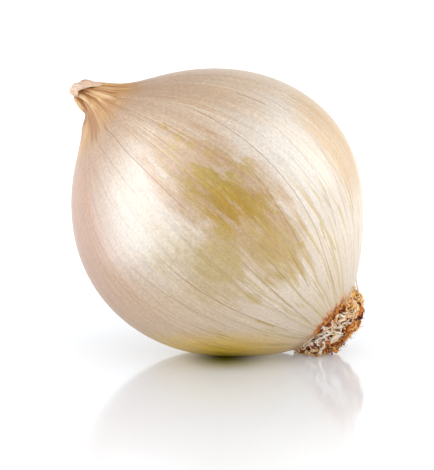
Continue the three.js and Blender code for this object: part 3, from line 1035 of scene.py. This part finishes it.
class Skin(Nodes):
    """The skin's material: where a point lies, the noises there and its colour so far."""

    def __init__(self):
        super().__init__(bpy.data.materials.new("onion_skin"))
        ring = self.ring = self.attribute("ring", "Vector")
        self.bearing = self.attribute("bearing", "Vector")
        aside, ahead, self.polar = self.parts(ring)
        _, self.up_the_neck, self.to_viewer = self.parts(self.bearing)
        self.turn = self.math("ARCTAN2", aside, ahead)
        self.girth = self.math("SINE", self.polar * math.pi)
        self.sway = self.noise(self.bearing, 2.2, 2, 0.4)
        self.broad_streaks = self.grain(ring, (9, 9, 1.2), 3, 0.55)
        self.streaks = self.grain(ring, (32, 32, 2.2), 4, 0.6)
        self.fine_streaks = self.grain(ring, (100, 100, 6), 3, 0.6)
        self.cells = self.grain(ring, (150, 150, 130), 2, 0.6)
        self.wisps = self.grain(ring, (12, 12, 10), 5, 0.62, (2, 7, 3), 0.4)
        self.blotches = self.grain(self.bearing, (3.2, 2.2, 3.2), 5, 0.6, (1.3, 0.2, 4.1), 0.3)
        self.crinkle = self.grain(ring, (16, 16, 90), 4, 0.65, (4, 2, 6), 0.5)
        self.crinkled = self.polar.span(0.34, 0.16) * self.polar.span(0.03, 0.07)
        self.speckle = self.mottle(1300, 4, 0.65)
        self.colour = self.ramp(self.polar + (self.broad_streaks - 0.5) * 0.10, SKIN_COLOURS)

    def paint(self, share, colour, blend="MIX"):
        """Lay a colour over the skin's colour so far."""
        self.colour = self.mix(share, self.colour, colour, blend)

    def soft_patch(self, centre, inner, outer, share):
        """A share within an angle of a bearing, in degrees, falling to 0 at another."""
        facing = self.measure("DOT_PRODUCT", self.bearing, tuple(Vector(centre).normalized()))
        return facing.span(math.cos(outer * DEGREE), math.cos(inner * DEGREE), 0, share)

    def long_patch(self, turn, polar, half_turn, half_polar, raggedness, share):
        """A patch with a ragged edge that lies along the meridians: its middle
        and half sizes in degrees round the axis and down from the neck."""
        across = (self.turn - turn * DEGREE) / (half_turn * DEGREE)
        down = (self.polar - polar / 180) / (half_polar / 180)
        apart = across * across + down * down + (self.wisps - 0.5) * raggedness
        return apart.span(1.0, 0.1, 0, share)

    def meridian_lines(self, count, half_width, wander, seed):
        """Lines from neck to root, each with its own place, strength and length."""
        swayed = self.turn * (count / (2 * math.pi)) + (self.sway - 0.5) * (wander * count / 50)
        number = self.math("FLOOR", swayed)
        within = swayed - number
        number = self.math("WRAP", number, count / 2, -count / 2)
        chance = self.value("ShaderNodeTexWhiteNoise", {"W": number + seed}, "Color", noise_dimensions="1D")
        place_chance, strength_chance, _ = self.parts(chance)
        along = self.value("ShaderNodeCombineXYZ", {0: number * 7.31, 1: self.polar * 2.0, 2: seed})
        centre = place_chance.evenly(0, 1, 0.3, 0.7) + (self.noise(along, 1, 2) - 0.5) * 0.35
        apart = abs(within - centre) * (self.girth * (2 * math.pi * GIRTH_RADIUS / count))
        reach = self.grain(along, (3.1, 1.4, 1), 2, shift=(0, 5, 2))
        strength = self.math("POWER", strength_chance, 1.5) * reach.span(0.36, 0.54)
        return apart.span(0.25 * half_width, half_width, 1, 0) * strength

    def placed_line(self, strength, half_width, path):
        """A line along a path of turns and polar angles, tapered at both ends."""
        turns, polars = zip(*path)
        low, spread = min(turns), max(turns) - min(turns)
        top, reach = polars[0], polars[-1] - polars[0]
        along = self.polar.evenly(top / 180, polars[-1] / 180, 0, 1)
        curve = self.node("ShaderNodeFloatCurve", {"Value": along})
        steps = [((polar - top) / reach, (turn - low) / spread) for turn, polar in path]
        bends = curve.mapping.curves[0].points
        bends[0].location, bends[1].location = steps[0], steps[-1]
        for step in steps[1:-1]:
            bends.new(*step)
        curve.mapping.update()
        middle = self.math("MULTIPLY_ADD", Value(self, curve.outputs[0]), spread * DEGREE, low * DEGREE)
        apart = abs(self.turn - middle) * (self.girth * GIRTH_RADIUS)
        ends = along.span(0, 0.08) * along.span(1, 0.92)
        return apart.span(0.3 * half_width, half_width, strength, 0) * ends

    def strongest(self, *masks):
        """The strongest of several masks at each point."""
        total = masks[0]
        for mask in masks[1:]:
            total = self.math("MAXIMUM", total, mask)
        return total


def paint_patches(skin):
    """Soft and ragged patches of colour, the uppermost last; some are painted highlight and painted shade."""
    broad, wisps, blotches = skin.broad_streaks, skin.wisps, skin.blotches
    # Pink tint, partly painted shade toward the left rim.
    skin.paint(skin.soft_patch(*BLUSH_AND_SHADE_PATCH), BLUSH_AND_SHADE)
    skin.paint(skin.soft_patch(*PEACH_PATCH), PEACH)
    # Whiter skin under the two highlights: painted highlight.
    for patch in PAINTED_HIGHLIGHT_PATCHES:
        skin.paint(skin.soft_patch(*patch) * broad.span(0.3, 0.6, 0.5, 1), PAINTED_HIGHLIGHT_WHITE)
    skin.paint(skin.soft_patch(*WARM_PATCH) * broad.span(0.3, 0.6, 0.294, 1), WARM_RIM)
    skin.paint(skin.long_patch(*TARNISH_BAND) * blotches.span(0.38, 0.60, 0.474, 1), TARNISH)
    olive_band = skin.long_patch(*OLIVE_BAND) * blotches.span(0.62, 0.40, 0.3, 1)
    skin.paint(skin.strongest(olive_band, skin.long_patch(*OLIVE_SPOT)), OLIVE)
    # Whitish streaks on the right-hand side: pale skin, and partly painted highlight streaks where the right
    # highlight falls.
    pale_and_sheen_streaks = skin.grain(skin.ring, (26, 26, 2.2), 5, 0.7, (5, 1, 9)).span(0.46, 0.66, 0, 0.60)
    skin.paint(pale_and_sheen_streaks * skin.polar.span(0.10, 0.30) * skin.turn.span(0.2, 0.8, 0.25, 1), PALE_SKIN_AND_SHEEN)
    skin.paint(skin.long_patch(*GOLD_BAND) * wisps.span(0.46, 0.56, 0.08, 1), GOLD)
    broken = wisps.span(0.40, 0.55, 0.45, 1) * skin.streaks.span(0.36, 0.58, 0.50, 1)
    skin.paint(skin.long_patch(*GOLD_CORE) * broken, DEEP_GOLD)
    skin.paint(skin.long_patch(*LOWER_GOLD), GOLD)
    spots = [skin.long_patch(*spot, SPOT_RAGGEDNESS, SPOT_SHARE) for spot in GOLD_SPOTS]
    skin.paint(skin.strongest(*spots), YELLOW)
    # Gold on the underside by the table, partly painted shade.
    skin.paint(skin.soft_patch(*BELLY_SHADE_PATCH) * blotches.span(0.3, 0.6, 0.632, 1), BELLY_GOLD_AND_SHADE)
    dashes = skin.grain(skin.ring, (24, 24, 8), 3, 0.6, (3, 5, 1)).span(0.54, 0.66, 0, 0.6)
    skin.paint(dashes * skin.polar.span(0.48, 0.64) * skin.polar.span(0.95, 0.84), YELLOW)


def paint_grain(skin):
    """Lighter and darker grain, the finest of it weaker toward the root."""
    grainy = skin.up_the_neck.span(-0.35, 0.2, 0.65, 1)
    grains = ((skin.streaks, 0.90, 1.06, 1), (skin.fine_streaks, 0.91, 1.06, 1),
              (skin.speckle, 0.82, 1.12, grainy), (skin.cells, 0.80, 1.14, grainy),
              (skin.crinkle, 0.88, 1.08, skin.crinkled))
    for value, low, high, share in grains:
        tone = value.evenly(0.25, 0.75, low, high)
        skin.paint(share, skin.value("ShaderNodeCombineColor", {0: tone, 1: tone, 2: tone}), "MULTIPLY")


def paint_lines(skin):
    """Streaks, veins and threads from neck to root. Gives back where the veins are."""
    streaked = skin.strongest(*(skin.placed_line(*streak) for streak in STREAKS))
    skin.paint(streaked * skin.streaks.span(0.35, 0.6, 0.4, 1), YELLOW)
    scattered = skin.meridian_lines(*SCATTERED_VEINS) * skin.to_viewer.span(0.30, 0.0, 0.12, 0.9)
    veins = skin.strongest(scattered, *(skin.placed_line(*vein) for vein in VEINS))
    skin.paint(veins * 0.85, VEIN_BROWN)
    skin.paint(skin.meridian_lines(*FINE_VEINS) * skin.polar.span(0.10, 0.26, 0.10, 0.45), VEIN_BROWN)
    skin.paint(skin.meridian_lines(*THREADS) * skin.polar.span(0.45, 0.65, 0, 0.7), STRAW)
    return veins


def paint_marks(skin):
    """Painted glints and one short crease. Gives back where the crease is."""
    for centre, size in PAINTED_GLINTS:
        glint = skin.soft_patch(centre, GLINT_CORE * size, size, 1)
        skin.paint(glint * skin.speckle.span(0.35, 0.55), GLINT_WHITE)
    turn, first, last = NICK
    inner, outer = NICK_SIDES
    nick = abs(skin.turn - turn * DEGREE).span(inner * DEGREE, outer * DEGREE, 1, 0)
    nick = nick * skin.polar.span((first - NICK_TAPER) / 180, first / 180)
    nick = nick * skin.polar.span((last + NICK_TAPER) / 180, last / 180)
    skin.paint(nick * NICK_SHARE, VEIN_BROWN)
    return nick


def paint_neck(skin):
    """Browned, creased skin where it is drawn in to the neck: darker in the deep
    creases partly as painted shade, lighter on raised folds partly as painted
    highlight, and lighter just below the folds as painted light against their shadow.
    """
    crease = skin.attribute("crease")
    pleats = skin.grain(skin.ring, (14, 14, 9), 4, 0.65)
    lean = skin.turn.span(-1.3, 0.7, -0.048, 0.012)
    neck = (skin.polar + (pleats - 0.5) * 0.06 + lean).span(0.118, 0.046, 0, 0.85)
    # Deeper creases darker, partly painted shade; lighter in the first few degrees below the folds, painted
    # light against their shadow.
    deep = crease.span(0.02, 0.40, 0, 0.85) + (pleats - 0.40) * 1.7 - skin.polar.span(0.055, 0.035, 0, 0.35)
    skin.paint(neck, skin.ramp(deep, CREASE_AND_SHADE_COLOURS))
    # Raised folds lighter: partly their paler skin and partly painted highlight.
    skin.paint(crease.span(-0.12, -0.45, 0, 0.75), PALE_RIDGE_AND_HIGHLIGHT)
    skin.paint(skin.long_patch(*NECK_SHADE), NECK_DULL)
    skin.paint(skin.meridian_lines(*NECK_LINES) * skin.polar.span(0.24, 0.14, 0, 0.42), GROOVE_BROWN)


def paint_root_stain(skin):
    """Orange and rusty stain round the root plate. Gives back where the orange is."""
    near_root = skin.polar + (skin.grain(skin.ring, (8, 8, 20), 5, 0.75) - 0.5) * 0.11
    stained = abs(skin.turn - STAIN_TURN).span(0.62, 0.30, 0.20, 0.95)
    orange = near_root.span(0.874, 0.894) * stained
    skin.paint(orange, ROOT_ORANGE)
    skin.paint(near_root.span(0.884, 0.902) * stained, RUST)
    return orange


def skin_material():
    skin = Skin()
    paint_patches(skin)
    paint_grain(skin)
    veins = paint_lines(skin)
    nick = paint_marks(skin)
    paint_neck(skin)
    orange = paint_root_stain(skin)
    dull = skin.polar.span(0.11, 0.05, 0, 0.32) + orange * 0.35
    roughness = skin.streaks.evenly(0.3, 0.7, 0.36, 0.47) + dull
    fibres = skin.fine_streaks * 0.75 + skin.streaks * 0.8
    bumps = skin.crinkle * (skin.crinkled * 1.1) + skin.cells * 0.28
    height = fibres + (bumps + (veins + nick) * -0.12)
    return skin.finish(skin.colour, roughness, height, 0.5, 0.00026, Specular_IOR_Level=0.75,
                       Coat_Weight=0.35, Coat_Roughness=0.30)


def fold_material():
    shade = material_nodes("neck_paper")
    fold = shade.attribute("fold", "Vector")
    valley, along, _ = shade.parts(fold)
    grain = shade.grain(fold, (1.5, 2.5, 34), 4, 0.6)
    mottle = shade.mottle(600)
    # Darker toward the creases and on the insides, partly painted shade.
    colour = shade.ramp(valley + (grain - 0.5) * 0.9, FOLD_COLOURS)
    colour = shade.mix(along.span(0.60, 0.78, 0, 0.72), colour, FOLD_TIP)
    # A paler band at the very edge of the tips: partly the dry edge's colour and partly painted highlight.
    colour = shade.mix(along.span(0.965, 0.995, 0, 0.7), colour, PALE_EDGE_AND_HIGHLIGHT)
    colour = shade.mix(mottle.span(0.55, 0.75, 0, 0.35), colour, FOLD_SPOT)
    return shade.finish(colour, mottle.evenly(0.3, 0.7, 0.42, 0.62), grain + mottle * 0.35, 0.6)


def scrap_material(name, scale, raggedness, colours, roughness, bump, **others):
    """Loose skin, coloured from its start to its tip and mottled."""
    shade = material_nodes(name)
    mottle = shade.mottle(scale)
    colour = shade.ramp(shade.attribute("along") + (mottle - 0.5) * raggedness, colours)
    return shade.finish(colour, mottle.evenly(0.3, 0.7, *roughness), mottle, bump, **others)


def flake_material():
    return scrap_material("torn_skin", 500, 0.6, FLAKE_COLOURS, (0.45, 0.6), 0.4)


def fringe_material():
    return scrap_material("stained_and_shaded_scale", 900, 0.9, FRINGE_COLOURS, (0.75, 0.95), 0.5,
                          Specular_IOR_Level=0.25)


def root_material():
    shade = material_nodes("dry_root")
    mottle = shade.mottle(900)
    fibre = shade.mottle(2600, 3)
    # The darkest tints are partly painted shade in the mat's gaps, and the palest partly painted highlight.
    colour = shade.ramp(shade.attribute("tint") + (mottle - 0.5) * 0.5, ROOT_COLOURS)
    return shade.finish(colour, fibre.evenly(0.3, 0.7, 0.7, 0.95), mottle * 0.8 + fibre * 0.5, 0.8,
                        Specular_IOR_Level=0.3)


# ---------------------------------------------------------------- studio
FLOOR_SIZE = 8.0
FLOOR_TONES = ((0.0, (0.53, 0.55, 0.59, 1)), (1.0, (0.55, 0.57, 0.61, 1)))
FLOOR_ROUGHNESS = (0.085, 0.105)
FLOOR_TINT = (0.74, 0.87, 1, 1)
# The table glows brighter with the distance from the onion: painted light that keeps it white, dimmer round
# the onion as painted shade.
GLOW_COLOUR = (0.95, 0.98, 1, 1)
GLOW_STRETCH = (1, 0.5, 1)
GLOW_FROM = (0.0, 0.12)
FLOOR_GLOW = (0.13, 0.72)
# Where the onion touches the table, the distances its painted contact shadow fades over, and that shadow's
# colour.
CONTACT = (-0.0045, -0.005, 0)
CONTACT_STRETCH = (1.3, 0.8, 1)
CONTACT_FADE = (0.001, 0.016)
CONTACT_SHADOW_COLOUR = (0.42, 0.43, 0.03, 1)
SENSOR = 36.0
VIEW_ELEVATION = 9 * DEGREE
VIEW_DISTANCE = 0.9
CLIP = (0.05, 20)
FRAME_HEIGHT = 0.11645
AIM_DROP = 0.00484
AIM_LEFT = 0.00007
# Each softbox: name, direction from the onion, width, height, radiance, and
# whether it is only seen as a highlight.
SOFTBOXES = (("left_shine", (-0.89, -0.38, 0.38), 0.84, 1.40, 6.3, True),
             ("left_fill", (-0.88, -0.30, 0.30), 0.80, 1.20, 1.0, False),
             ("right_shine", (0.80, 0.04, 0.60), 0.80, 1.05, 4.6, True),
             ("right_fill", (0.81, 0.10, 0.57), 0.60, 1.10, 1.5, False),
             ("front_fill", (0.10, -0.70, 0.70), 1.20, 1.20, 1.45, False))
SHINE_COLOUR = (0.78, 0.91, 1.0)
# A white card on the table at the left: middle, width, depth and radiance.
CARD_PLACE = (-0.37, -0.22, 0.003)
CARD_SIZE = (0.60, 0.42)
CARD_RADIANCE = 3.0
# The walls' light by height, up to the ceiling's, and its share by depth.
WALL_TOP = (0.18, 0.55)
WALL_LIGHTS = (1.2, 0.40)
FRONT_FALL = (-0.75, 0.0)
FRONT_SHARES = (0.25, 1)

GLOBE_CENTRE = Vector((-CENTRE_BACK, 0, CENTRE_HEIGHT)) * MM


def floor_material():
    shade = material_nodes("white_table")
    place_at = shade.position()
    grain = shade.mottle(40, 3, 0.5)
    colour = shade.ramp(grain, FLOOR_TONES)
    # A painted contact shadow: the table's colour turns dark olive and its glow fades out where the onion
    # touches it.
    lit = shade.measure("DISTANCE", shade.stretch(place_at, CONTACT_STRETCH), CONTACT).span(*CONTACT_FADE)
    # The table's glow: painted light, weaker near the onion as painted shade.
    apart = shade.measure("LENGTH", shade.stretch(place_at, GLOW_STRETCH))
    return shade.finish(
        shade.mix(lit, CONTACT_SHADOW_COLOUR, colour), grain.evenly(0.3, 0.7, *FLOOR_ROUGHNESS), grain, 0.02, 0.0002,
        Emission_Strength=apart.evenly(*GLOW_FROM, *FLOOR_GLOW) * lit, Emission_Color=GLOW_COLOUR,
        Specular_Tint=FLOOR_TINT)


def build_floor():
    half = FLOOR_SIZE / 2
    mesh = bpy.data.meshes.new("floor")
    corners = [(-half, -half, 0), (half, -half, 0), (half, half, 0), (-half, half, 0)]
    mesh.from_pydata(corners, [], [(0, 1, 2, 3)])
    mesh.materials.append(floor_material())
    floor = bpy.data.objects.new("floor", mesh)
    bpy.context.scene.collection.objects.link(floor)


def aim(thing, target):
    direction = target - thing.location
    thing.rotation_euler = direction.to_track_quat("-Z", "Y").to_euler()


def build_camera():
    toward_eye = Vector((0, -math.cos(VIEW_ELEVATION), math.sin(VIEW_ELEVATION)))
    frame_up = Vector((0, math.sin(VIEW_ELEVATION), math.cos(VIEW_ELEVATION)))
    target = GLOBE_CENTRE - frame_up * AIM_DROP - Vector((AIM_LEFT, 0, 0))
    data = bpy.data.cameras.new("camera")
    data.sensor_width = SENSOR
    data.lens = SENSOR * VIEW_DISTANCE / FRAME_HEIGHT
    data.clip_start, data.clip_end = CLIP
    camera = bpy.data.objects.new("camera", data)
    camera.location = target + toward_eye * VIEW_DISTANCE
    bpy.context.scene.collection.objects.link(camera)
    aim(camera, target)
    bpy.context.scene.camera = camera
    bpy.context.scene.view_settings.view_transform = "Standard"


def add_softbox(name, direction, width, height, radiance, gloss_only):
    """A soft light a metre away. Some only light, and others only show as highlights."""
    data = bpy.data.lights.new(name, "AREA")
    data.shape = "RECTANGLE"
    data.size = width
    data.size_y = height
    data.energy = radiance * math.pi * width * height
    light = bpy.data.objects.new(name, data)
    light.location = GLOBE_CENTRE + Vector(direction).normalized()
    light.visible_diffuse = not gloss_only
    light.visible_glossy = gloss_only
    if gloss_only:
        data.color = SHINE_COLOUR
    bpy.context.scene.collection.objects.link(light)
    aim(light, GLOBE_CENTRE)
    return light


def build_lights():
    for softbox in SOFTBOXES:
        add_softbox(*softbox)
    card = add_softbox("table_card", (-1, 0, 0), *CARD_SIZE, CARD_RADIANCE, True)
    card.location = CARD_PLACE
    card.rotation_euler = (math.pi, 0, 0)


def build_surround():
    """White walls, brightest low down and behind the onion, under a dimmer ceiling."""
    sky = Nodes(bpy.data.worlds.new("studio"))
    _, back, up = sky.parts(sky.position("Generated"))
    background = sky.tree.nodes["Background"].inputs
    background["Color"].default_value = (1, 1, 1, 1)
    sky.feed(background["Strength"], up.span(*WALL_TOP, *WALL_LIGHTS) * back.span(*FRONT_FALL, *FRONT_SHARES))
    bpy.context.scene.world = sky.owner


build_camera()
build_floor()
build_surround()
build_lights()
build_skin(skin_material())
build_folds(fold_material())
root_look = root_material()
build_root_mat(root_look)
build_flakes(flake_material())
build_fringe(fringe_material())
build_root_hairs(root_look)
